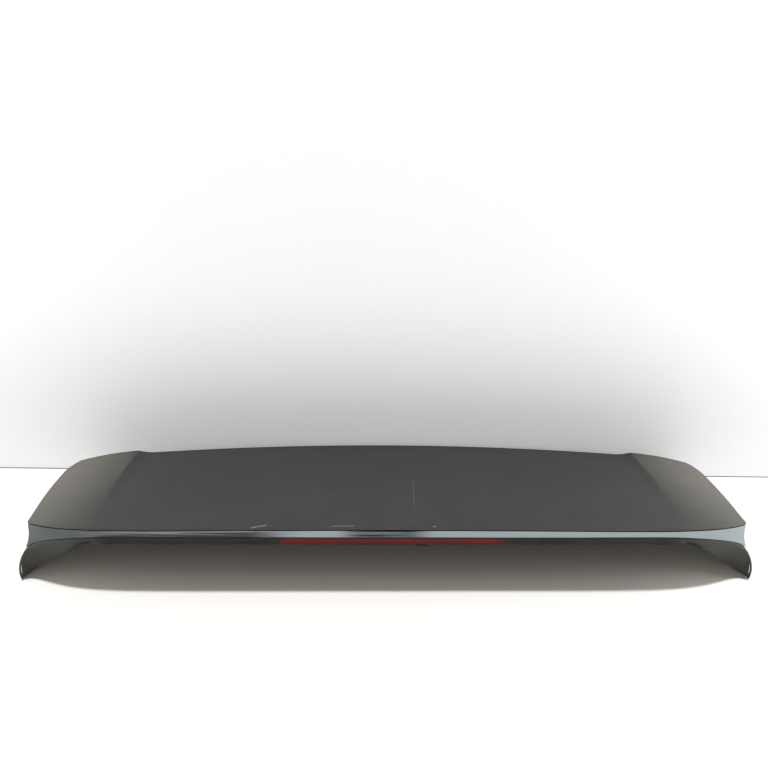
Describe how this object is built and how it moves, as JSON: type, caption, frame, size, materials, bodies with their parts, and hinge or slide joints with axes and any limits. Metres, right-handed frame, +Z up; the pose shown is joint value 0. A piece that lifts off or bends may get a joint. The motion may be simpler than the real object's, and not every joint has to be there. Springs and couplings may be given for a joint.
{
  "type": "car spoiler",
  "caption": "Car tailgate spoiler lying on its winglet tips: creased satin top skin, gloss trailing strip, black underside with winglets and a red brake lamp in the lip.",
  "frame": {"origin": "on the floor, on the centre line, in the middle of the row of fixing studs", "axes": "+X to the right seen from behind, +Y towards the front of the car, +Z up"},
  "size_m": [1.2416, 0.3403, 0.134],
  "materials": {
    "top_paint": "satin",
    "gloss_black": "gloss",
    "black_moulding": "satin",
    "red_lens": "gloss",
    "lamp_housing": "matte",
    "lamp_board": "satin",
    "lamp_leds": "gloss",
    "brass": "polished",
    "foam": "matte",
    "steel": "satin",
    "nozzle_black": "satin",
    "rubber": "matte"
  },
  "bodies": {
    "root": {"upper_shell": "top_paint", "gloss_trim": "gloss_black", "lower_shell": "black_moulding", "brake_lamp_lens": "red_lens", "brake_lamp_housing": "lamp_housing", "brake_lamp_board": "lamp_board", "brake_lamp_leds": "lamp_leds", "brake_lamp_socket": "lamp_housing", "brake_lamp_pins": "brass", "brake_lamp_gasket": "foam", "brake_lamp_screws": "steel", "washer_nozzle": "nozzle_black", "washer_hose": "rubber", "washer_connector": "nozzle_black", "cable_grommet": "rubber", "mounting_studs": "steel", "stud_plates": "steel", "stud_seals": "foam", "shell_screws": "steel", "boss_inserts": "brass", "trim_clips": "steel", "front_seal": "rubber", "base_seal": "foam", "rubber_buffers": "rubber"}
  },
  "joints": []
}
